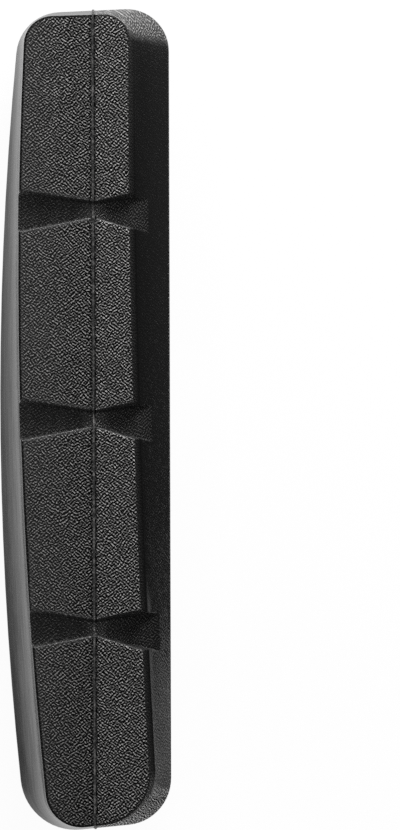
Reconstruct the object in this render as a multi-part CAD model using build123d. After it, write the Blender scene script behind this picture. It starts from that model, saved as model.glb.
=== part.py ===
"""Slide-in rubber insert of a bicycle rim brake pad, moulded in one piece. Millimetres.

X runs across the pad from the tyre side (-X) to the hub side (+X), Y along the rim from tail to head,
and Z out of the friction face. The origin is on the mould's parting plane, at the middle of the rail's
flat foot.
"""
import os
from dataclasses import dataclass
from math import radians, sqrt, tan
from typing import Callable

from build123d import *

# Heights, from the rail's foot up to the friction face
foot_height = 2.4
channel_height = 2.4
flange_height = 2.2
flare_height = 2.8
steep_height = 2.2

# Flange: the widest outline, straight on the hub side and curved like the rim on the tyre side
pad_length = 69.8
flange_tyre_reach = 8.08
flange_hub_reach = 6.42
flange_tyre_radius = 310.0
flange_tyre_apex = 1.1
flange_head_tilt = 2.5
flange_tail_tilt = 5.5
flange_corners = {"head_tyre": 3.8, "head_hub": 3.6, "tail_hub": 4.0, "tail_tyre": 4.7}
flange_edge_radius = 0.5

# Friction face: a curved band that lies a little askew, with a slight fall to both sides of the seam
face_tyre_inset = 1.96
face_hub_inset = 3.03
face_head_inset = 0.65
face_tail_inset = 0.47
face_tyre_radius = 417.0
face_hub_radius = 1077.0
face_skew = 1.5
face_head_tilt = 1.5
face_tail_tilt = 6.5
face_corners = {"head_tyre": 2.3, "head_hub": 2.1, "tail_hub": 4.3, "tail_tyre": 2.9}
face_fall = 1.5
face_edge_run = 0.1
face_edge_height = 0.3

# Side walls: steep below the face, then flared out to the flange. A hollow is the share of the flare's
# run that is reached at half its height, so 0.5 is a straight flare and less is a hollow one.
steep_tyre_run = 0.3
steep_hub_run = 0.5
steep_end_run = 0.15
flare_tyre_hollow = 0.33
flare_hub_hollow = 0.47
flare_end_hollow = 0.5

# Cross grooves: narrow and shallow on the parting plane, wider and deeper towards both sides
groove_count = 3
groove_pitch = 17.75
groove_shift = 0.08
groove_throat = 1.32
groove_root_depth = 1.05
groove_tyre_head_spread = 9.0
groove_tyre_tail_spread = 11.0
groove_hub_head_spread = 12.5
groove_hub_tail_spread = 17.5
groove_tyre_slope = 8.0
groove_hub_slope = 25.6
groove_head_draft = 11.0
groove_tail_draft = 4.0

# Rail on the back: a neck and a wider foot that slides between the lips of the shoe
rail_end_inset = 1.9
neck_end_inset = 0.6
neck_width = 6.4
foot_width = 9.6
rail_corner = 2.0
rail_chamfer = 0.4
pin_notch_width = 2.4
pin_from_head = 8.0

flange_bottom = foot_height + channel_height
flange_top = flange_bottom + flange_height
crease_level = flange_top + flare_height
face_level = crease_level + steep_height
rail_length = pad_length - 2 * rail_end_inset
neck_length = rail_length - 2 * neck_end_inset
clear_of_part = 4.0
tolerance = 1e-6


def bow(y, radius):
    """How far an arc of the given radius has turned aside, y along from its apex."""
    return radius - sqrt(radius**2 - y**2)


def flange_tyre_side(y):
    return -flange_tyre_reach + bow(y - flange_tyre_apex, flange_tyre_radius)


def flange_hub_side(y):
    return flange_hub_reach


def face_tyre_side(y):
    return face_tyre_inset - flange_tyre_reach + bow(y, face_tyre_radius) - y * tan(radians(face_skew))


def face_hub_side(y):
    return flange_hub_reach - face_hub_inset + bow(y, face_hub_radius) - y * tan(radians(face_skew))


def mix(inner, outer, share):
    return inner + (outer - inner) * share


def side_curve(side, start, end):
    """The stretch of a side between two lengthwise stations, as an arc or a straight line."""
    middle = (start + end) / 2
    first = Vector(side(start), start)
    halfway = Vector(side(middle), middle)
    last = Vector(side(end), end)
    straight = abs(halfway.X - (first.X + last.X) / 2) < tolerance
    return Line(first, last) if straight else ThreePointArc(first, halfway, last)


@dataclass
class Outline:
    """A level outline of the pad: two long sides, two tilted ends and a radius for each corner."""
    tyre_side: Callable
    hub_side: Callable
    head: float
    tail: float
    head_tilt: float
    tail_tilt: float
    corners: dict

    def pushed_out(self, tyre_run, hub_run, end_run):
        grown = {name: radius + end_run for name, radius in self.corners.items()}
        return Outline(lambda y: self.tyre_side(y) - tyre_run, lambda y: self.hub_side(y) + hub_run,
                       self.head + end_run, self.tail - end_run, self.head_tilt, self.tail_tilt, grown)

    def towards(self, other, tyre_share, hub_share, end_share):
        """The outline that lies the given shares of the way out to another one."""
        grown = {name: mix(radius, other.corners[name], tyre_share if name.endswith("tyre") else hub_share)
                 for name, radius in self.corners.items()}
        return Outline(lambda y: mix(self.tyre_side(y), other.tyre_side(y), tyre_share),
                       lambda y: mix(self.hub_side(y), other.hub_side(y), hub_share),
                       mix(self.head, other.head, end_share), mix(self.tail, other.tail, end_share),
                       mix(self.head_tilt, other.head_tilt, end_share),
                       mix(self.tail_tilt, other.tail_tilt, end_share), grown)

    def at(self, level):
        """The outline as a face at a height."""
        station = {
            "head_tyre": self.head + self.tyre_side(self.head) * tan(radians(self.head_tilt)),
            "head_hub": self.head + self.hub_side(self.head) * tan(radians(self.head_tilt)),
            "tail_hub": self.tail + self.hub_side(self.tail) * tan(radians(self.tail_tilt)),
            "tail_tyre": self.tail + self.tyre_side(self.tail) * tan(radians(self.tail_tilt)),
        }
        tyre_curve = side_curve(self.tyre_side, station["tail_tyre"], station["head_tyre"])
        hub_curve = side_curve(self.hub_side, station["head_hub"], station["tail_hub"])
        shape = make_face([tyre_curve, Line(tyre_curve @ 1, hub_curve @ 0),
                           hub_curve, Line(hub_curve @ 1, tyre_curve @ 0)])
        for name, radius in self.corners.items():
            side = self.tyre_side if name.endswith("tyre") else self.hub_side
            corner = Vector(side(station[name]), station[name])
            shape = fillet(shape.vertices().sort_by_distance(corner)[0], radius)
        return Pos(0, 0, level) * shape


half_length = pad_length / 2
flange = Outline(flange_tyre_side, flange_hub_side, half_length, -half_length,
                 flange_head_tilt, flange_tail_tilt, flange_corners)
face = Outline(face_tyre_side, face_hub_side, half_length - face_head_inset, face_tail_inset - half_length,
               face_head_tilt, face_tail_tilt, face_corners)
shoulder = face.pushed_out(face_edge_run, face_edge_run, face_edge_run)
crease = face.pushed_out(steep_tyre_run, steep_hub_run, steep_end_run)
hollow = crease.towards(flange, flare_tyre_hollow, flare_hub_hollow, flare_end_hollow)


def block():
    """The friction block: flange, hollow flare and steep wall, under a face that falls from the seam."""
    base = extrude(flange.at(flange_bottom), flange_height)
    base = fillet(base.faces().sort_by(Axis.Z)[0].edges(), flange_edge_radius)
    flare = loft([flange.at(flange_top), hollow.at(flange_top + flare_height / 2), crease.at(crease_level)])
    steep = loft([crease.at(crease_level), shoulder.at(face_level - face_edge_height), face.at(face_level)],
                 ruled=True)
    return (base + flare + steep) & roof()


def roof():
    """A long gabled bar that gives the face its slight fall to both sides of the parting plane."""
    reach = max(flange_tyre_reach, flange_hub_reach) + clear_of_part
    eaves = face_level - reach * tan(radians(face_fall))
    gable = make_face(Polyline((-reach, 0), (-reach, eaves), (0, face_level), (reach, eaves), (reach, 0),
                               close=True))
    return extrude(Plane.XZ * gable, half_length + clear_of_part, both=True)


def groove_section(across, head_spread, tail_spread, slope):
    """A groove's section, across millimetres from the parting plane on the side that it opens to."""
    depth = groove_root_depth + across * tan(radians(slope))
    head_edge = groove_throat / 2 + across * tan(radians(head_spread))
    tail_edge = -groove_throat / 2 - across * tan(radians(tail_spread))
    floor = face_level - depth
    rise = clear_of_part
    head_run = tan(radians(groove_head_draft))
    tail_run = tan(radians(groove_tail_draft))
    return make_face(Polyline(
        (tail_edge + depth * tail_run, floor),
        (head_edge - depth * head_run, floor),
        (head_edge + rise * head_run, face_level + rise),
        (tail_edge - rise * tail_run, face_level + rise),
        close=True))


def groove_half(direction, reach, head_spread, tail_spread, slope):
    """The cutter for one half of a groove, from the parting plane out past the side of the pad."""
    sections = []
    for across in (0, reach + clear_of_part):
        plane = Plane((direction * across, 0, 0), x_dir=(0, 1, 0), z_dir=(1, 0, 0))
        sections.append(plane * groove_section(across, head_spread, tail_spread, slope))
    return loft(sections, ruled=True)


def grooves():
    tyre_half = groove_half(-1, flange_tyre_reach, groove_tyre_head_spread, groove_tyre_tail_spread,
                            groove_tyre_slope)
    hub_half = groove_half(1, flange_hub_reach, groove_hub_head_spread, groove_hub_tail_spread,
                           groove_hub_slope)
    cutters = []
    for index in range(groove_count):
        y = groove_shift + groove_pitch * (index - (groove_count - 1) / 2)
        cutters += [Pos(0, y, 0) * tyre_half, Pos(0, y, 0) * hub_half]
    return cutters


def rail():
    """The straight slide rail: a neck under the flange and a wider foot with rounded, bevelled ends."""
    foot = extrude(RectangleRounded(foot_width, rail_length, rail_corner), foot_height)
    foot = chamfer(foot.faces().sort_by(Axis.Z)[0].edges(), rail_chamfer)
    neck = extrude(RectangleRounded(neck_width, neck_length, rail_corner), channel_height)
    return foot + Pos(0, 0, foot_height) * neck


def pin_notch():
    """The half-round notch across the foot that the shoe's retaining pin lies in."""
    y = rail_length / 2 - pin_from_head
    return Pos(0, y, 0) * Rot(0, 90, 0) * Cylinder(pin_notch_width / 2, foot_width + clear_of_part)


pad = block() + rail()
for cutter in grooves() + [pin_notch()]:
    pad = pad - cutter

os.makedirs("parts", exist_ok=True)
export_step(pad, "parts/pad_insert.step")
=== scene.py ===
"""Dresses the moulded rubber insert of a bicycle rim brake pad and sets it under a camera.

The solid of the frame is copied, merged and given the small edge rounding that a mould leaves. A fine flash
follows the parting line, and the compound has a pebbled grain on the braking face and the hub side and a
satin skin on the tyre side and the back. Lengths are metres. X runs across the pad from the tyre side to the
hub side, with the parting line at 0, Y runs along it from tail to head, and Z out of the braking face.
"""
import math
from collections import namedtuple

import bpy
from bpy.props import FloatProperty, FloatVectorProperty, PointerProperty
from bpy.types import Operator, Panel, PropertyGroup
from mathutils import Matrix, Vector, noise


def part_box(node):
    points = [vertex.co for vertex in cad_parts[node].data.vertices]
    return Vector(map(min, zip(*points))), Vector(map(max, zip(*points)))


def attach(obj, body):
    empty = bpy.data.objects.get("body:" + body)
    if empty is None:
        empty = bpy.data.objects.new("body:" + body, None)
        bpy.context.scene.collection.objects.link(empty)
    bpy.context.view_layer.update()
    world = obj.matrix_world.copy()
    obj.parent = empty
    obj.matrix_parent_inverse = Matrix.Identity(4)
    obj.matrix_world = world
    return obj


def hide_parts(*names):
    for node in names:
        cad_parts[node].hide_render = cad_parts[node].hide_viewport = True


bl_info = {
    "name": "Rim Brake Pad Insert",
    "version": (1, 0, 0),
    "blender": (4, 5, 0),
    "location": "3D View > Sidebar > Brake Pad",
    "description": "Dresses a moulded rubber rim brake insert and lights it for a product picture",
    "category": "Object",
}

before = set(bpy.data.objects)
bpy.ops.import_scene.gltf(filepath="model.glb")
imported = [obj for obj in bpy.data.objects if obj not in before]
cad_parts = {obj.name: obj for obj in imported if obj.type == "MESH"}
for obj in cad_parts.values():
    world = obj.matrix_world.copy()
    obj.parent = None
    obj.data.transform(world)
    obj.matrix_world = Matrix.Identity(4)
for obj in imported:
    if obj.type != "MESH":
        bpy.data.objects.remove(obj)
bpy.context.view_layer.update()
PAD_NODE = "pad_insert"
MM = 0.001

# Levels over the foot's underside, the band under the top that holds the face and its rim, and the number
# of rows that the flare is cut into
FLANGE_BOTTOM = 4.8 * MM
FLANGE_TOP = 7.0 * MM
CREASE = 9.8 * MM
SHADE_LINE = 11.1 * MM
FACE_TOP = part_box(PAD_NODE)[1].z
FACE_BAND = 0.4 * MM
FADE_ROWS = 5

# Cross grooves: stations along the pad, reach of their walls, narrow throat on the parting line, and depths
GROOVE_PITCH = 17.75 * MM
GROOVE_STATIONS = (-GROOVE_PITCH, 0.0, GROOVE_PITCH)
GROOVE_REACH = 3.2 * MM
THROAT_REACH = 1.3 * MM
GROOVE_ROOT = FACE_TOP - 1.05 * MM
GROOVE_END = FLANGE_TOP + 1.4 * MM

# Stations at which the finish of the face and the walls begins to change and has changed
HEAD_END = 34 * MM
TAIL_END = -34 * MM
TYRE_SIDE = -8 * MM
GLEAM_START = 15 * MM
GLEAM_END = 33 * MM
HEAD_TURN = 32.1 * MM
HEAD_TURNED = HEAD_TURN + 1.4 * MM
TAIL_START = -18 * MM
TAIL_TURN = -30 * MM
TAIL_WALL_TURN = -29.8 * MM
TAIL_WALL_TURNED = -33 * MM

# Limits on a polygon's normal, or on a rim's outward direction, that tell which way it faces
LEVEL = 0.995
GROOVE_FLOOR = 0.8
SIDE_WALL = 0.6
MOSTLY = 0.5
STEEP = 0.4
END_WALL = 0.2
HEADWARD = 0.1

# A finish: how deep the tool was etched, how light the rubber is drawn, which is painted light and shade in
# most finishes, and how glossy it is
Finish = namedtuple("Finish", "grain tone gloss")
FINISHES = {
    # The face: the hub half lighter, both halves painted darker towards the tail, the tyre half also towards
    # the tyre edge
    "tyre_face": Finish(1.1, 1.27, 0.95),
    "tyre_face_tail": Finish(1.03, 0.82, 0.7),
    "tyre_face_edge": Finish(0.72, 0.93, 0.52),
    "hub_face": Finish(1.05, 1.48, 1.0),
    "hub_face_tail": Finish(1.05, 1.28, 0.95),
    # Rims: bare where the grain dies out, a painted highlight on the lit rim, and painted shade on the hub
    # half's rim
    "bare_rim": Finish(0.3, 0.8, 0.3),
    "lit_rim": Finish(1.0, 3.0, 1.0),
    "hub_rim": Finish(0.3, 0.7, 0.0),
    # Grooves: a painted highlight on the edges that face the head, painted shade on the floors, less towards
    # the parting line, with painted light in the hub throats and the hub floors' outer ends painted darkest
    "groove_edge": Finish(0.3, 1.8, 0.8),
    "groove_wall": Finish(0.3, 1.2, 0.3),
    "tyre_groove_floor": Finish(0.55, 0.52, 0.35),
    "tyre_throat": Finish(0.55, 1.1, 0.7),
    "hub_groove_floor": Finish(0.6, 1.35, 0.5),
    "hub_groove_end": Finish(0.35, 0.48, 0.05),
    "hub_throat": Finish(0.6, 2.6, 1.0),
    # Tyre walls: painted shade on the steep band under the face, and below it a painted highlight, strongest
    # towards the head, that fades down to the plain skin
    "tyre_steep_wall": Finish(0.3, 0.35, 0.0),
    "tyre_crease_highlight": Finish(0.0, 4.0, 2.8),
    "tyre_head": Finish(0.0, 8.0, 3.0),
    "tyre_flare": Finish(0.0, 1.4, 2.0),
    # Hub walls: painted shade on the steep wall and the flare, and painted light where they turn at the head
    # and the tail and on both ends
    "hub_steep_wall": Finish(0.3, 0.9, 0.0),
    "head_steep_wall": Finish(0.4, 4.0, 0.0),
    "tail_steep_wall": Finish(0.7, 4.0, 0.0),
    "hub_flare": Finish(0.05, 0.38, 0.0),
    "hub_flange": Finish(0.05, 0.55, 1.2),
    "head_end": Finish(0.55, 2.15, 0.9),
    "tail_flare": Finish(0.7, 0.6, 0.42),
    "tail_end": Finish(1.2, 2.75, 4.7),
    "skin": Finish(0.0, 0.5, 0.58),
}

# The finishes that fade into others, so that their painted light and shade change gradually: into which one,
# along which axis, and where that begins and ends
ACROSS, ALONG, UP = range(3)
Fade = namedtuple("Fade", "into axis start end")
FADES = {
    "tyre_face": [
        Fade("tyre_face_tail", ALONG, HEAD_END, TAIL_END),
        Fade("tyre_face_edge", ACROSS, 0.0, TYRE_SIDE)],
    "hub_face": [
        Fade("hub_face_tail", ALONG, HEAD_END, TAIL_END)],
    "tyre_groove_floor": [
        Fade("tyre_throat", ACROSS, -THROAT_REACH, 0.0)],
    "hub_groove_floor": [
        Fade("hub_groove_end", UP, GROOVE_ROOT, GROOVE_END),
        Fade("hub_throat", ACROSS, THROAT_REACH, 0.0)],
    "tyre_crease_highlight": [
        Fade("tyre_head", ALONG, GLEAM_START, GLEAM_END),
        Fade("tyre_flare", UP, SHADE_LINE, CREASE)],
    "tyre_flare": [
        Fade("skin", UP, CREASE, FLANGE_TOP)],
    "hub_steep_wall": [
        Fade("hub_flare", UP, FACE_TOP, CREASE),
        Fade("tail_steep_wall", ALONG, TAIL_WALL_TURN, TAIL_WALL_TURNED),
        Fade("head_steep_wall", ALONG, HEAD_TURN, HEAD_TURNED)],
    "hub_flare": [
        Fade("hub_flange", UP, CREASE, FLANGE_TOP),
        Fade("tail_flare", ALONG, TAIL_START, TAIL_TURN),
        Fade("head_end", ALONG, HEAD_TURN, HEAD_TURNED)],
    "hub_flange": [
        Fade("tail_flare", ALONG, TAIL_START, TAIL_TURN),
        Fade("head_end", ALONG, HEAD_TURN, HEAD_TURNED)],
    "tail_flare": [
        Fade("tail_end", ALONG, TAIL_TURN, TAIL_END)],
}

# Pebbled grain: two sets of waves that cross at these leans, how many there are to a cell, how orderly they
# are, the span of their sum that rises as pebbles, how full those are, and how far the pattern slides with
# the height, so that it doesn't smear on the walls
GRAIN_LEANS = (math.radians(52), math.radians(128))
WAVES_PER_CELL = 1.6
WAVE_ORDER = 0.8
PEBBLE_SPAN = (0.92, 1.22)
PEBBLE_POWER = 1.5
SLIDE_ACROSS = -0.5
SLIDE_ALONG = 0.35

# Painted shade in fine dark lines beside the flash: place and depth of shade of each, how far the shade
# reaches at full depth and in all, and how open a line is where it is narrowest and down in a groove
JOINT_LINES = ((-0.25 * MM, 0.8), (0.11 * MM, 0.98))
LINE_REACH = (0.03 * MM, 0.12 * MM)
LEAST_OPEN = 0.45
OPEN_IN_GROOVE = 0.3

# Down in the grooves the flash is drawn paler: how far that reaches in full and in all, and how much paler
# it is
PALE_REACH = (0.15 * MM, 0.65 * MM)
PALE_LEVEL = 3.0

# Noise: the spans of its 0 to 1 that are used, its detail, and how the draw lines lower and raise the gloss
NOISE_SPAN = (0.3, 0.7)
BREAK_SPAN = (0.35, 0.6)
FLECK_SPAN = (0.46, 0.72)
NOISE_DETAIL = 2.0
SATIN_SPAN = (0.75, 1.25)

# Rubber's optics: its refraction, and how rough and how glossy its finishes are
RUBBER_IOR = 1.5
SATIN_ROUGHNESS = 0.28
GRAIN_ROUGHNESS = 0.5
FLASH_SPECULAR = 0.2

# Cleaning of the copied solid, rounding of its edges, and making of the bead
MERGE_DISTANCE = 0.0001 * MM
FLAT_ANGLE = math.radians(0.5)
ROUNDING_STEPS = 3
FOOT_EDGE = 0.3 * MM
SWELLS_PER_STEP = 0.6

# A mesh's lists of elements, by select mode
MESH_ELEMENTS = {"VERT": "vertices", "EDGE": "edges", "FACE": "polygons"}

# Stage: the floor, how much of it is page white, the light from all round, two corners of a black card, and
# the camera's sensor in millimetres and how far it sees
FLOOR_SIZE = 4.0
PAGE_SHARE = 0.95
SKY_LEVEL = 0.2
CARD_CORNERS = (Vector((11.5, -29, 4.5)) * MM, Vector((11.5, 33, 18)) * MM)
SENSOR_WIDTH = 36
VIEW_END = 10

# Lamps: where each hangs, how wide it is, and to which share of white it lights paper turned to it
Lamp = namedtuple("Lamp", "name place size share")
LAMPS = (
    Lamp("key_softbox", Vector((0.05, 0.15, 0.115)), 0.1, 0.92),
    Lamp("head_softbox", Vector((0.0, 0.65, 0.2)), 0.5, 0.5),
    Lamp("top_fill", Vector((0.05, 0.05, 0.7)), 0.3, 0.2),
    Lamp("tyre_side_softbox", Vector((-0.65, 0.25, 0.15)), 0.5, 0.45),
    Lamp("tail_fill", Vector((0.0, -0.6, 0.3)), 0.4, 0.05),
)


def linear(hex_colour):
    """An sRGB hex colour as linear red, green and blue."""
    channels = [int(hex_colour[i:i + 2], 16) / 255 for i in (1, 3, 5)]
    return tuple(c / 12.92 if c <= 0.04045 else ((c + 0.055) / 1.055) ** 2.4 for c in channels)


class MouldingSettings(PropertyGroup):
    """Sizes of the moulded body's finish"""
    edge_round: FloatProperty(
        name="Edge Rounding", description="Width of the rounding on the moulded edges",
        default=0.09 * MM, unit="LENGTH", precision=5)
    sharp_angle: FloatProperty(
        name="Sharp Angle", description="Edges that turn by more than this are rounded",
        default=math.radians(22), subtype="ANGLE")
    bare_margin: FloatProperty(
        name="Bare Margin", description="Width of the rim of the face on which the grain dies out",
        default=0.26 * MM, unit="LENGTH", precision=5)


class FlashSettings(PropertyGroup):
    """Sizes of the flash on the parting line"""
    radius: FloatProperty(
        name="Bead Radius", description="Radius of the bead that the mould's joint leaves",
        default=0.085 * MM, unit="LENGTH", precision=6)
    step: FloatProperty(
        name="Step", description="Longest straight run of the bead, between two changes of its size",
        default=0.22 * MM, unit="LENGTH", precision=5)
    raggedness: FloatProperty(
        name="Raggedness", description="How much the bead swells and thins along the joint",
        default=0.75, min=0, max=1, subtype="FACTOR")


class RubberSettings(PropertyGroup):
    """Colours and grain of the brake compound"""
    # Valley and pebble top are painted shade and a painted highlight: the grain is coloured dark in its
    # valleys and light on its tops
    valley: FloatVectorProperty(
        name="Valley", description="Colour of the compound between the pebbles",
        default=linear("#060606"), size=3, min=0, max=1, subtype="COLOR")
    pebble_top: FloatVectorProperty(
        name="Pebble Top", description="Colour of the pebbles' rubbed tops",
        default=linear("#7b7a79"), size=3, min=0, max=1, subtype="COLOR")
    plain: FloatVectorProperty(
        name="Plain", description="Colour of the compound where it has no grain",
        default=linear("#2a2a2a"), size=3, min=0, max=1, subtype="COLOR")
    flash: FloatVectorProperty(
        name="Flash", description="Colour of the flecks on the parting line's thin flash",
        default=linear("#646362"), size=3, min=0, max=1, subtype="COLOR")
    fleck: FloatProperty(
        name="Fleck", description="Length of those flecks",
        default=0.35 * MM, unit="LENGTH", precision=5)
    pebble: FloatProperty(
        name="Pebble", description="Width of one pebble of the mould's grain",
        default=0.24 * MM, unit="LENGTH", precision=5)
    grain_depth: FloatProperty(
        name="Grain Depth", description="Height of the pebbles",
        default=0.17 * MM, unit="LENGTH", precision=6)
    wander: FloatProperty(
        name="Joint Wander", description="How far the lines beside the flash stray to either side",
        default=0.06 * MM, unit="LENGTH", precision=6)
    wander_length: FloatProperty(
        name="Wander Length", description="Length over which those lines stray",
        default=1.2 * MM, unit="LENGTH", precision=5)
    break_length: FloatProperty(
        name="Break Length", description="Length of the stretches in which those lines open and close",
        default=0.5 * MM, unit="LENGTH", precision=5)
    draw_line: FloatProperty(
        name="Draw Line",
        description="Width of the faint lines that drawing from the mould leaves on the skin",
        default=0.15 * MM, unit="LENGTH", precision=5)
    draw_length: FloatProperty(
        name="Draw Length", description="Length of those lines",
        default=5 * MM, unit="LENGTH", precision=4)


class StageSettings(PropertyGroup):
    """Floor, camera and lamps"""
    camera_height: FloatProperty(
        name="Camera Height", description="Height of the camera over the flange",
        default=0.8, unit="LENGTH")
    camera_place: FloatVectorProperty(
        name="Camera Place", description="Where the camera stands over the pad, across and along it",
        default=(8.98 * MM, 0.34 * MM), size=2, unit="LENGTH", precision=5)
    camera_turn: FloatProperty(
        name="Camera Turn", description="How far the camera is turned about its view",
        default=-0.0031, subtype="ANGLE")
    picture_height: FloatProperty(
        name="Picture Height",
        description="Length that the picture shows from top to bottom, at the level of the flange",
        default=70.88 * MM, unit="LENGTH", precision=5)
    lamp_level: FloatProperty(
        name="Lamp Level", description="Brightness of white paper under the lamps",
        default=1.0, min=0, soft_max=2)


def add_node(tree, kind, settings=(), inputs=()):
    """Adds a node, sets its properties, and sets or links its inputs."""
    node = tree.nodes.new(kind)
    for name, value in dict(settings).items():
        setattr(node, name, value)
    for name, value in dict(inputs).items():
        if isinstance(value, bpy.types.NodeSocket):
            tree.links.new(value, node.inputs[name])
        else:
            node.inputs[name].default_value = value
    return node


def new_material(name):
    """An empty node material and its tree, with the output still to be linked."""
    material = bpy.data.materials.new(name)
    material.use_nodes = True
    material.node_tree.nodes.clear()
    return material, material.node_tree


def near(tree, value, centre, reach, inside):
    """A level that is as given within the first reach from a centre, and 1 beyond the second reach."""
    offset = add_node(tree, "ShaderNodeMath", {"operation": "SUBTRACT"}, {0: value, 1: centre})
    distance = add_node(tree, "ShaderNodeMath", {"operation": "ABSOLUTE"}, {0: offset.outputs[0]})
    return add_node(tree, "ShaderNodeMapRange", {"interpolation_type": "SMOOTHSTEP"}, {
        "Value": distance.outputs[0], "From Min": reach[0], "From Max": reach[1],
        "To Min": inside, "To Max": 1.0}).outputs["Result"]


def pebbled_grain(tree, look, place):
    """Pebbles that the etched tool leaves: 0 in the valleys between them, 1 on their tops."""
    across = add_node(tree, "ShaderNodeMath", {"operation": "MULTIPLY_ADD"}, {
        0: place["Z"], 1: SLIDE_ACROSS, 2: place["X"]})
    along = add_node(tree, "ShaderNodeMath", {"operation": "MULTIPLY_ADD"}, {
        0: place["Z"], 1: SLIDE_ALONG, 2: place["Y"]})
    unrolled = add_node(tree, "ShaderNodeCombineXYZ", inputs={"X": across.outputs[0], "Y": along.outputs[0]})
    waves = [add_node(tree, "ShaderNodeTexGabor", {"gabor_type": "2D"}, {
        "Vector": unrolled.outputs["Vector"], "Scale": 1 / (WAVES_PER_CELL * look.pebble),
        "Frequency": WAVES_PER_CELL, "Anisotropy": WAVE_ORDER,
        "Orientation 2D": lean}).outputs["Value"] for lean in GRAIN_LEANS]
    crossed = add_node(tree, "ShaderNodeMath", {"operation": "ADD"}, {0: waves[0], 1: waves[1]})
    swell = add_node(tree, "ShaderNodeMapRange", inputs={
        "Value": crossed.outputs[0], "From Min": PEBBLE_SPAN[0], "From Max": PEBBLE_SPAN[1]})
    return add_node(tree, "ShaderNodeMath", {"operation": "POWER"}, {
        0: swell.outputs["Result"], 1: PEBBLE_POWER}).outputs[0]


def draw_lines(tree, look, place):
    """Faint lines along the pad, where it was drawn from the polished tool, as a factor on the gloss."""
    upright = add_node(tree, "ShaderNodeCombineXYZ", inputs={"X": place["Z"], "Y": place["Y"]})
    drawn = add_node(tree, "ShaderNodeMapping", inputs={
        "Vector": upright.outputs["Vector"], "Scale": (1 / look.draw_line, 1 / look.draw_length, 1)})
    lines = add_node(tree, "ShaderNodeTexNoise", {"noise_dimensions": "2D"}, {
        "Vector": drawn.outputs["Vector"], "Scale": 1.0, "Detail": NOISE_DETAIL})
    return add_node(tree, "ShaderNodeMapRange", inputs={
        "Value": lines.outputs["Fac"], "From Min": NOISE_SPAN[0], "From Max": NOISE_SPAN[1],
        "To Min": SATIN_SPAN[0], "To Max": SATIN_SPAN[1]}).outputs["Result"]


def painted_joint_shade(tree, look, place):
    """Painted shade of the crevices on both sides of the flash, which wander, open and close: 1 away from
    them, less in them.
    """
    wander = add_node(tree, "ShaderNodeTexNoise", {"noise_dimensions": "1D"}, {
        "W": place["Y"], "Scale": 1 / look.wander_length, "Detail": NOISE_DETAIL})
    aside = add_node(tree, "ShaderNodeMapRange", inputs={
        "Value": wander.outputs["Fac"], "From Min": NOISE_SPAN[0], "From Max": NOISE_SPAN[1],
        "To Min": -look.wander, "To Max": look.wander})
    joint = add_node(tree, "ShaderNodeMath", {"operation": "ADD"}, {
        0: place["X"], 1: aside.outputs["Result"]})
    breaks = add_node(tree, "ShaderNodeTexNoise", {"noise_dimensions": "1D"}, {
        "W": place["Y"], "Scale": 1 / look.break_length, "Detail": NOISE_DETAIL})
    open_share = add_node(tree, "ShaderNodeMapRange", inputs={
        "Value": breaks.outputs["Fac"], "From Min": BREAK_SPAN[0], "From Max": BREAK_SPAN[1],
        "To Min": LEAST_OPEN, "To Max": 1.0})
    on_top = add_node(tree, "ShaderNodeMapRange", inputs={
        "Value": place["Z"], "From Min": GROOVE_ROOT, "From Max": FACE_TOP - FACE_BAND,
        "To Min": OPEN_IN_GROOVE, "To Max": 1.0})
    gaping = add_node(tree, "ShaderNodeMath", {"operation": "MULTIPLY"}, {
        0: open_share.outputs["Result"], 1: on_top.outputs["Result"]})
    light = []
    for centre, depth in JOINT_LINES:
        inside = add_node(tree, "ShaderNodeMath", {"operation": "MULTIPLY_ADD"}, {
            0: gaping.outputs[0], 1: -depth, 2: 1.0})
        light.append(near(tree, joint.outputs[0], centre, LINE_REACH, inside.outputs[0]))
    return add_node(tree, "ShaderNodeMath", {"operation": "MULTIPLY"}, dict(enumerate(light))).outputs[0]


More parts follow.
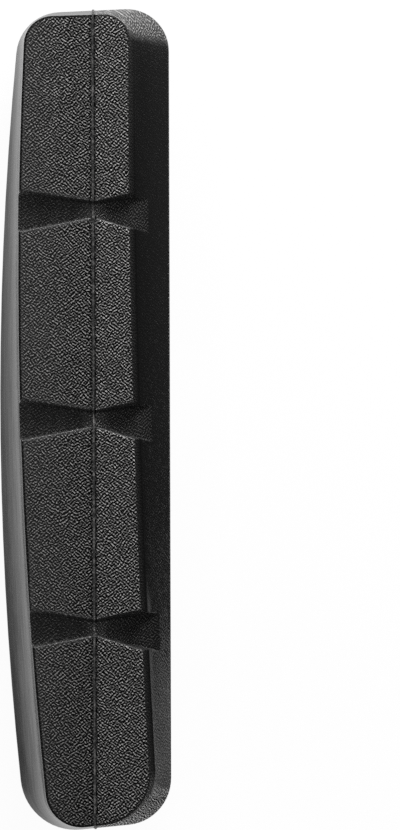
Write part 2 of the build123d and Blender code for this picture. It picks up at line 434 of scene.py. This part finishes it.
def moulded_brake_rubber(look):
    """Carbon black brake compound, moulded in an etched tool.

    The etching leaves pebbles, coloured from painted shade in the valleys between them to a painted
    highlight on their tops, and their gloss also falls away into the valleys. Where the tool was polished,
    the same rubber has a satin skin with faint draw lines along the pad. Each finish's painted light and
    shade scales the colour, and the painted shade of the crevices beside the flash scales both colour and
    gloss.
    """
    material, tree = new_material("moulded_brake_rubber")
    grained, tone_and_painted_light, gloss = (add_node(tree, "ShaderNodeAttribute", {"attribute_name": name}).outputs["Fac"]
                            for name in Finish._fields)
    place = add_node(tree, "ShaderNodeSeparateXYZ", inputs={
        "Vector": add_node(tree, "ShaderNodeTexCoord").outputs["Object"]}).outputs
    pebbles = pebbled_grain(tree, look, place)
    satin = draw_lines(tree, look, place)
    crevice_painted_light = painted_joint_shade(tree, look, place)

    raised = add_node(tree, "ShaderNodeMath", {"operation": "MULTIPLY"}, {0: pebbles, 1: grained})
    bump = add_node(tree, "ShaderNodeBump", inputs={
        "Strength": 1.0, "Distance": look.grain_depth, "Height": raised.outputs[0]})

    # The grain's colour: painted shade in the valleys, a painted highlight on the pebble tops
    etched = add_node(tree, "ShaderNodeMix", {"data_type": "RGBA"}, {
        "Factor": pebbles, "A": (*look.valley, 1), "B": (*look.pebble_top, 1)})
    colour = add_node(tree, "ShaderNodeMix", {"data_type": "RGBA"}, {
        "Factor": grained, "A": (*look.plain, 1), "B": etched.outputs["Result"]})
    # Painted light and shade: the finish's lightness, times the painted shade of the crevices beside the
    # flash
    lightness = add_node(tree, "ShaderNodeMath", {"operation": "MULTIPLY"}, {0: crevice_painted_light, 1: tone_and_painted_light})
    shaded = add_node(tree, "ShaderNodeVectorMath", {"operation": "SCALE"}, {
        0: colour.outputs["Result"], "Scale": lightness.outputs[0]})

    roughness = add_node(tree, "ShaderNodeMapRange", inputs={
        "Value": grained, "To Min": SATIN_ROUGHNESS, "To Max": GRAIN_ROUGHNESS})
    sheen = add_node(tree, "ShaderNodeMix", {"data_type": "FLOAT"}, {
        "Factor": grained, "A": satin, "B": pebbles})
    # The crevices' painted shade lowers the gloss too
    shine = add_node(tree, "ShaderNodeMath", {"operation": "MULTIPLY"}, {0: crevice_painted_light, 1: gloss})
    specular = add_node(tree, "ShaderNodeMath", {"operation": "MULTIPLY"}, {
        0: sheen.outputs["Result"], 1: shine.outputs[0]})
    shader = add_node(tree, "ShaderNodeBsdfPrincipled", inputs={
        "Base Color": shaded.outputs["Vector"], "Roughness": roughness.outputs["Result"],
        "Specular IOR Level": specular.outputs[0], "IOR": RUBBER_IOR, "Normal": bump.outputs["Normal"]})
    add_node(tree, "ShaderNodeOutputMaterial", inputs={"Surface": shader.outputs["BSDF"]})
    return material


def flash_rubber(look):
    """The same compound, squeezed out thin between the halves of the tool: dull, with pale flecks."""
    material, tree = new_material("flash_rubber")
    place = add_node(tree, "ShaderNodeTexCoord").outputs["Object"]
    flecks = add_node(tree, "ShaderNodeTexNoise", inputs={
        "Vector": place, "Scale": 1 / look.fleck, "Detail": NOISE_DETAIL})
    worn = add_node(tree, "ShaderNodeMapRange", inputs={
        "Value": flecks.outputs["Fac"], "From Min": FLECK_SPAN[0], "From Max": FLECK_SPAN[1]})
    colour = add_node(tree, "ShaderNodeMix", {"data_type": "RGBA"}, {
        "Factor": worn.outputs["Result"], "A": (*look.plain, 1), "B": (*look.flash, 1)})
    height = add_node(tree, "ShaderNodeSeparateXYZ", inputs={"Vector": place}).outputs["Z"]
    shaded = add_node(tree, "ShaderNodeVectorMath", {"operation": "SCALE"}, {
        0: colour.outputs["Result"], "Scale": near(tree, height, GROOVE_ROOT, PALE_REACH, PALE_LEVEL)})
    shader = add_node(tree, "ShaderNodeBsdfPrincipled", inputs={
        "Base Color": shaded.outputs["Vector"], "Roughness": GRAIN_ROUGHNESS,
        "Specular IOR Level": FLASH_SPECULAR, "IOR": RUBBER_IOR})
    add_node(tree, "ShaderNodeOutputMaterial", inputs={"Surface": shader.outputs["BSDF"]})
    return material


def white_paper():
    """White paper: plain for the lamps, and page white for the camera and in reflections."""
    material, tree = new_material("white_paper")
    path = add_node(tree, "ShaderNodeLightPath")
    reflected = add_node(tree, "ShaderNodeMath", {"operation": "MAXIMUM"}, {
        0: path.outputs["Is Glossy Ray"], 1: path.outputs["Is Transmission Ray"]})
    shown = add_node(tree, "ShaderNodeMath", {"operation": "MAXIMUM"}, {
        0: reflected.outputs[0], 1: path.outputs["Is Camera Ray"]})
    share = add_node(tree, "ShaderNodeMath", {"operation": "MULTIPLY"}, {0: shown.outputs[0], 1: PAGE_SHARE})
    paper = add_node(tree, "ShaderNodeBsdfDiffuse", inputs={"Color": (*linear("#f8f8f8"), 1)})
    page = add_node(tree, "ShaderNodeEmission", inputs={"Color": (1, 1, 1, 1), "Strength": 1.0})
    mixed = add_node(tree, "ShaderNodeMixShader", inputs={
        "Fac": share.outputs[0], 1: paper.outputs["BSDF"], 2: page.outputs["Emission"]})
    add_node(tree, "ShaderNodeOutputMaterial", inputs={"Surface": mixed.outputs["Shader"]})
    return material


def black_card():
    """Matt black card, which gives the wall beside it something dark to reflect."""
    material, tree = new_material("black_card")
    shader = add_node(tree, "ShaderNodeBsdfDiffuse", inputs={"Color": (*linear("#0a0a0a"), 1)})
    add_node(tree, "ShaderNodeOutputMaterial", inputs={"Surface": shader.outputs["BSDF"]})
    return material


def edit_alone(piece, select_mode):
    """Opens one object in edit mode with nothing selected in it."""
    bpy.ops.object.select_all(action="DESELECT")
    piece.select_set(True)
    bpy.context.view_layer.objects.active = piece
    bpy.ops.object.mode_set(mode="EDIT")
    bpy.ops.mesh.select_mode(type=select_mode)
    bpy.ops.mesh.select_all(action="DESELECT")


def edit_some(piece, select_mode, wanted):
    """Opens one object in edit mode with its wanted elements selected, and says how many those are."""
    edit_alone(piece, select_mode)
    bpy.ops.object.mode_set(mode="OBJECT")
    chosen = [element for element in getattr(piece.data, MESH_ELEMENTS[select_mode]) if wanted(element)]
    for element in chosen:
        element.select = True
    bpy.ops.object.mode_set(mode="EDIT")
    return len(chosen)


def copy_of_solid(name):
    """A merged copy of the CAD solid, with its flat stretches as single faces."""
    piece = bpy.data.objects.new(name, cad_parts[PAD_NODE].data.copy())
    bpy.context.scene.collection.objects.link(piece)
    edit_alone(piece, "VERT")
    bpy.ops.mesh.customdata_custom_splitnormals_clear()
    bpy.ops.mesh.select_all(action="SELECT")
    bpy.ops.mesh.remove_doubles(threshold=MERGE_DISTANCE)
    bpy.ops.mesh.dissolve_limited(angle_limit=FLAT_ANGLE)
    bpy.ops.object.mode_set(mode="OBJECT")
    return piece


class BRAKEPAD_OT_moulding(Operator):
    """Rounds the solid's edges and gives it its rubber"""
    bl_idname = "brakepad.moulding"
    bl_label = "Moulded Pad"

    def execute(self, context):
        sizes = context.scene.brakepad_moulding
        pad = copy_of_solid("pad_moulding")
        self.round_edges(pad, sizes)
        self.cut_for_fades(pad)
        self.rim_facets(pad, sizes.bare_margin)
        self.mark_finish(pad)
        bpy.ops.object.shade_smooth_by_angle(angle=sizes.sharp_angle)
        weighted = pad.modifiers.new("Flat faces", "WEIGHTED_NORMAL")
        weighted.keep_sharp = True
        bpy.ops.object.modifier_apply(modifier=weighted.name)
        pad.data.materials.clear()
        pad.data.materials.append(moulded_brake_rubber(context.scene.brakepad_rubber))
        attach(pad, "root")
        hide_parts(PAD_NODE)
        return {"FINISHED"}

    def round_edges(self, pad, sizes):
        """Gives the sharp edges the small rounding that the tool's own edges leave."""
        edit_alone(pad, "EDGE")
        bpy.ops.mesh.edges_select_sharp(sharpness=sizes.sharp_angle)
        bpy.ops.mesh.bevel(offset=sizes.edge_round, offset_type="OFFSET", segments=ROUNDING_STEPS,
                           affect="EDGES", clamp_overlap=False)
        bpy.ops.object.mode_set(mode="OBJECT")

    def cut_for_fades(self, pad):
        """Cuts the mesh where a fade begins or ends, on planes that leave its shape alone."""
        rows = [FLANGE_TOP + (CREASE - FLANGE_TOP) * row / FADE_ROWS for row in range(1, FADE_ROWS)]
        edit_alone(pad, "EDGE")
        bpy.ops.mesh.select_all(action="SELECT")
        bpy.ops.mesh.bisect(plane_co=(0, 0, 0), plane_no=(1, 0, 0))
        for level in (*rows, SHADE_LINE):
            bpy.ops.mesh.select_all(action="SELECT")
            bpy.ops.mesh.bisect(plane_co=(0, 0, level), plane_no=(0, 0, 1))
        bpy.ops.object.mode_set(mode="OBJECT")
        self.cut_walls(pad, (0, HEAD_TURN, 0), (0, 1, 0))
        for reach in (-THROAT_REACH, THROAT_REACH):
            self.cut_walls(pad, (reach, 0, 0), (1, 0, 0))

    def cut_walls(self, pad, place, direction):
        """Cuts all but the braking face on a plane."""
        edit_some(pad, "FACE", lambda polygon: not self.on_face(polygon))
        bpy.ops.mesh.bisect(plane_co=place, plane_no=direction)
        bpy.ops.object.mode_set(mode="OBJECT")

    def rim_facets(self, pad, margin):
        """Insets a rim in each facet of the braking face, and leaves the facets inside it selected."""
        edit_some(pad, "FACE", self.on_face)
        bpy.ops.mesh.inset(thickness=margin, use_individual=True)
        bpy.ops.object.mode_set(mode="OBJECT")

    def on_face(self, polygon):
        """Whether a polygon lies on the braking face."""
        return polygon.normal.z > LEVEL and polygon.center.z > FACE_TOP - FACE_BAND

    def mark_finish(self, pad):
        """Writes the finish of each corner of each polygon."""
        mesh = pad.data
        facets = [polygon for polygon in mesh.polygons if self.on_face(polygon) and polygon.select]
        inside = {index for facet in facets for index in facet.vertices}
        rims = self.rim_finishes(mesh, inside)
        layers = [mesh.attributes.new(name, "FLOAT", "CORNER") for name in Finish._fields]
        for polygon in mesh.polygons:
            finish = self.finish_of(polygon)
            for corner in polygon.loop_indices:
                vertex = mesh.loops[corner].vertex_index
                own = rims.get(vertex, finish) if self.on_face(polygon) else finish
                for layer, value in zip(layers, self.finish_at(own, mesh.vertices[vertex].co)):
                    layer.data[corner].value = value

    def finish_of(self, polygon):
        """The name of the finish that a polygon has, from where it lies and how it is turned."""
        side = "tyre" if polygon.center.x < 0 else "hub"
        if self.on_face(polygon):
            return f"{side}_face"
        if self.in_groove(polygon):
            return self.groove_finish(polygon, side)
        return self.tyre_finish(polygon) if side == "tyre" else self.hub_finish(polygon)

    def groove_finish(self, polygon, side):
        """The finish of a polygon in a cross groove."""
        # The edges that face the head get a painted highlight
        if polygon.center.z > FACE_TOP - FACE_BAND and polygon.normal.y > HEADWARD:
            return "groove_edge"
        return f"{side}_groove_floor" if polygon.normal.z > GROOVE_FLOOR else "groove_wall"

    def tyre_finish(self, polygon):
        """The finish of a polygon on the tyre half's walls and back."""
        if polygon.center.z > SHADE_LINE:
            return "tyre_steep_wall"
        if polygon.center.z > CREASE:
            return "tyre_crease_highlight"
        return "tyre_flare" if polygon.center.z > FLANGE_TOP else "skin"

    def hub_finish(self, polygon):
        """The finish of a polygon on the hub half's walls and back."""
        z = polygon.center.z
        if z > FACE_TOP - FACE_BAND:
            return "hub_rim"
        if z > CREASE and polygon.normal.z < STEEP:
            return "hub_steep_wall"
        if z < FLANGE_BOTTOM:
            return "skin"
        if abs(polygon.normal.y) > END_WALL and not self.near_groove(polygon):
            return "head_end" if polygon.center.y > 0 else "tail_flare"
        return "hub_flare" if z > FLANGE_TOP else "hub_flange"

    def near_groove(self, polygon):
        """Whether a polygon lies at a groove's station along the pad."""
        return any(abs(polygon.center.y - station) < GROOVE_REACH for station in GROOVE_STATIONS)

    def in_groove(self, polygon):
        """Whether a polygon is part of a groove, and not of the side wall beside it."""
        return (self.near_groove(polygon) and abs(polygon.normal.x) < SIDE_WALL
                and polygon.center.z > FLANGE_TOP)

    def finish_at(self, name, place):
        """The values of a finish at a place, faded into other ones if it is a finish that fades."""
        values = FINISHES[name]
        for fade in FADES.get(name, ()):
            share = min(max((place[fade.axis] - fade.start) / (fade.end - fade.start), 0), 1)
            values = [own + (other - own) * share for own, other in zip(values, FINISHES[fade.into])]
        return values

    def rim_finishes(self, mesh, inside):
        """Rim finishes by vertex: bare at the tyre edge and the seam, a painted highlight at the hub facets'
        head ends.
        """
        rims = {}
        for polygon in mesh.polygons:
            outer = [index for index in polygon.vertices if index not in inside]
            if not self.on_face(polygon) or not outer or len(outer) == len(polygon.vertices):
                continue
            inner = [index for index in polygon.vertices if index in inside]
            outward = (self.middle(mesh, outer) - self.middle(mesh, inner)).normalized()
            tyre_half = polygon.center.x < 0
            if outward.x < -MOSTLY or (outward.x > MOSTLY and tyre_half):
                rims.update((index, "bare_rim") for index in outer)
            elif outward.y > MOSTLY and not tyre_half:
                rims.update((index, "lit_rim") for index in outer)
        return rims

    def middle(self, mesh, indices):
        """The mean place of some vertices."""
        return sum((mesh.vertices[index].co for index in indices), Vector()) / len(indices)


class BRAKEPAD_OT_flash(Operator):
    """Runs a thin ragged bead of flash along the parting line"""
    bl_idname = "brakepad.flash"
    bl_label = "Parting Flash"

    def execute(self, context):
        sizes = context.scene.brakepad_flash
        bead = copy_of_solid("parting_flash")
        edit_alone(bead, "VERT")
        bpy.ops.mesh.select_all(action="SELECT")
        bpy.ops.mesh.bisect(plane_co=(0, 0, 0), plane_no=(1, 0, 0), clear_inner=True, clear_outer=True)
        bpy.ops.object.mode_set(mode="OBJECT")
        self.drop_foot(bead)
        self.divide(bead, sizes.step)
        bpy.ops.object.convert(target="CURVE")
        bead = context.active_object
        self.swell(bead.data, sizes)
        bpy.ops.object.convert(target="MESH")
        bead = context.active_object
        bpy.ops.object.shade_smooth()
        bead.data.materials.clear()
        bead.data.materials.append(flash_rubber(context.scene.brakepad_rubber))
        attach(bead, "root")
        return {"FINISHED"}

    def drop_foot(self, bead):
        """Leaves the bead off the foot that the pad stands on."""
        edit_some(bead, "VERT", lambda vertex: vertex.co.z < FOOT_EDGE)
        bpy.ops.mesh.delete(type="VERT")
        bpy.ops.object.mode_set(mode="OBJECT")

    def divide(self, bead, step):
        """Halves the bead's long runs until none is longer than the step."""
        def too_long(edge):
            first, last = (bead.data.vertices[index].co for index in edge.vertices)
            return (last - first).length > step

        while edit_some(bead, "EDGE", too_long):
            bpy.ops.mesh.subdivide(number_cuts=1)
            bpy.ops.object.mode_set(mode="OBJECT")
        bpy.ops.object.mode_set(mode="OBJECT")

    def swell(self, curve, sizes):
        """Gives the bead its ragged thickness, and sets it a little to the tyre side of the joint."""
        curve.bevel_depth = sizes.radius
        curve.bevel_resolution = 1
        for spline in curve.splines:
            for point in spline.points:
                swelling = noise.noise(point.co.xyz / sizes.step * SWELLS_PER_STEP)
                point.radius = 1 + sizes.raggedness * swelling
                point.co.x -= sizes.radius / 2


class BRAKEPAD_OT_stage(Operator):
    """Lays white paper under the pad and sets the lamps and the camera"""
    bl_idname = "brakepad.stage"
    bl_label = "Stage"

    def execute(self, context):
        sizes = context.scene.brakepad_stage
        bpy.ops.object.select_all(action="DESELECT")
        bpy.ops.mesh.primitive_plane_add(size=FLOOR_SIZE, location=(0, 0, 0))
        floor = context.active_object
        floor.name = "floor"
        floor.data.materials.append(white_paper())
        self.add_card(context, "hub_card", *CARD_CORNERS)
        self.add_camera(context, sizes)
        for lamp in LAMPS:
            self.add_lamp(context, lamp, sizes.lamp_level)
        self.set_world(context)
        context.scene.view_settings.view_transform = "Standard"
        context.scene.cycles.use_denoising = False
        return {"FINISHED"}

    def add_card(self, context, name, low, high):
        """An upright card that only reflections and bounced light meet, given by two opposite corners."""
        bpy.ops.mesh.primitive_plane_add(size=1, location=(low + high) / 2, rotation=(0, math.pi / 2, 0))
        card = context.active_object
        card.name = name
        card.scale = (high.z - low.z, high.y - low.y, 1)
        bpy.ops.object.transform_apply(location=True, rotation=True, scale=True)
        card.visible_camera = False
        card.visible_shadow = False
        card.data.materials.append(black_card())

    def add_camera(self, context, sizes):
        """A camera far over the pad that looks straight down on its face."""
        data = bpy.data.cameras.new("camera")
        data.sensor_width = SENSOR_WIDTH
        data.lens = data.sensor_width * sizes.camera_height / sizes.picture_height
        data.clip_end = VIEW_END
        camera = bpy.data.objects.new("camera", data)
        camera.location = (*sizes.camera_place, sizes.camera_height + FLANGE_TOP)
        camera.rotation_euler = (0, 0, sizes.camera_turn)
        context.scene.collection.objects.link(camera)
        context.scene.camera = camera

    def add_lamp(self, context, lamp, level):
        """A square soft lamp that lights paper turned to it to the given share of white."""
        data = bpy.data.lights.new(lamp.name, "AREA")
        data.size = lamp.size
        data.energy = lamp.share * level * math.pi ** 2 * lamp.place.length_squared
        light = bpy.data.objects.new(lamp.name, data)
        light.location = lamp.place
        light.visible_camera = False
        light.rotation_euler = (-lamp.place).to_track_quat("-Z", "Y").to_euler()
        context.scene.collection.objects.link(light)

    def set_world(self, context):
        """A dim sky all round, which the camera sees as page white."""
        world = bpy.data.worlds.new("studio")
        world.use_nodes = True
        tree = world.node_tree
        tree.nodes.clear()
        path = add_node(tree, "ShaderNodeLightPath")
        strength = add_node(tree, "ShaderNodeMapRange", inputs={
            "Value": path.outputs["Is Camera Ray"], "To Min": SKY_LEVEL, "To Max": 1.0})
        sky = add_node(tree, "ShaderNodeBackground", inputs={
            "Color": (1, 1, 1, 1), "Strength": strength.outputs["Result"]})
        add_node(tree, "ShaderNodeOutputWorld", inputs={"Surface": sky.outputs["Background"]})
        context.scene.world = world


class BRAKEPAD_PT_panel(Panel):
    """Lists the pieces and their settings"""
    bl_idname = "BRAKEPAD_PT_panel"
    bl_label = "Brake Pad"
    bl_space_type = "VIEW_3D"
    bl_region_type = "UI"
    bl_category = "Brake Pad"

    def draw(self, context):
        for group, operator in PIECES:
            settings = getattr(context.scene, group)
            box = self.layout.box()
            for name in settings.__annotations__:
                box.prop(settings, name)
            if operator:
                box.operator(operator)


PIECES = (
    ("brakepad_rubber", None),
    ("brakepad_moulding", "brakepad.moulding"),
    ("brakepad_flash", "brakepad.flash"),
    ("brakepad_stage", "brakepad.stage"),
)
GROUPS = {
    "brakepad_rubber": RubberSettings,
    "brakepad_moulding": MouldingSettings,
    "brakepad_flash": FlashSettings,
    "brakepad_stage": StageSettings,
}
CLASSES = (*GROUPS.values(), BRAKEPAD_OT_moulding, BRAKEPAD_OT_flash, BRAKEPAD_OT_stage, BRAKEPAD_PT_panel)


def register():
    """Makes the add-on's classes and settings known to Blender."""
    for cls in CLASSES:
        bpy.utils.register_class(cls)
    for name, group in GROUPS.items():
        setattr(bpy.types.Scene, name, PointerProperty(type=group))


def unregister():
    """Takes them away again."""
    for name in GROUPS:
        delattr(bpy.types.Scene, name)
    for cls in reversed(CLASSES):
        bpy.utils.unregister_class(cls)


def main():
    """Makes the pieces and the stage in order."""
    register()
    bpy.ops.brakepad.moulding()
    bpy.ops.brakepad.flash()
    bpy.ops.brakepad.stage()


if __name__ == "__main__":
    main()
